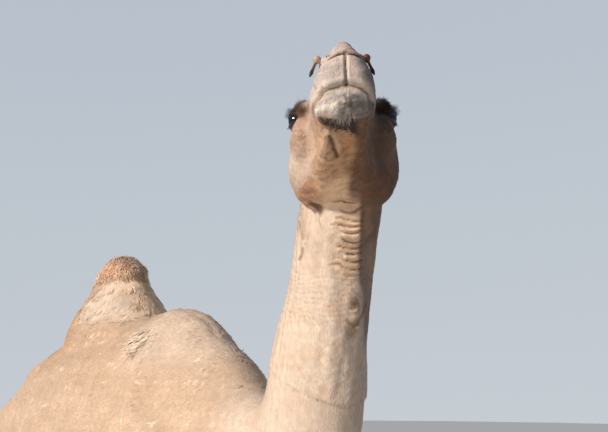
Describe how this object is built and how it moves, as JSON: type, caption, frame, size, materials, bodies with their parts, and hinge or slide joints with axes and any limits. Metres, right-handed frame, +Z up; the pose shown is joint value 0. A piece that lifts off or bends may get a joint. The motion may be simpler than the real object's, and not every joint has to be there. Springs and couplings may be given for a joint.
{
  "type": "dromedary camel",
  "caption": "Standing one-humped camel with a raised neck, its head turned to its right and a woolly hump.",
  "frame": {"origin": "on the floor, under the middle of the bounding box", "axes": "+Z up; the camel's body points along -Y with the head turned to its right, and its left side is +X"},
  "size_m": [0.6417, 2.561, 2.3378],
  "materials": {
    "coat": "short sandy fur",
    "dark_coat": "long brown hair",
    "pad_skin": "callused skin",
    "nail": "worn horn",
    "eye": "wet, near black",
    "wood": "worn hardwood"
  },
  "bodies": {
    "root": {"torso": "coat", "hump": "coat", "neck_lower": "coat", "neck_upper": "coat", "head": "coat", "ear_left": "coat", "ear_right": "coat", "eye_left": "eye", "eye_right": "eye", "nose_peg_left": "wood", "nose_peg_right": "wood", "chest_pad": "pad_skin", "tail": "coat", "tail_tuft": "dark_coat", "foreleg_left_upper": "coat", "foreleg_left_lower": "coat", "foreleg_left_nail_inner": "nail", "foreleg_left_nail_outer": "nail", "foreleg_right_upper": "coat", "foreleg_right_lower": "coat", "foreleg_right_nail_inner": "nail", "foreleg_right_nail_outer": "nail", "hindleg_left_upper": "coat", "hindleg_left_lower": "coat", "hindleg_left_nail_inner": "nail", "hindleg_left_nail_outer": "nail", "hindleg_right_upper": "coat", "hindleg_right_lower": "coat", "hindleg_right_nail_inner": "nail", "hindleg_right_nail_outer": "nail"}
  },
  "joints": []
}
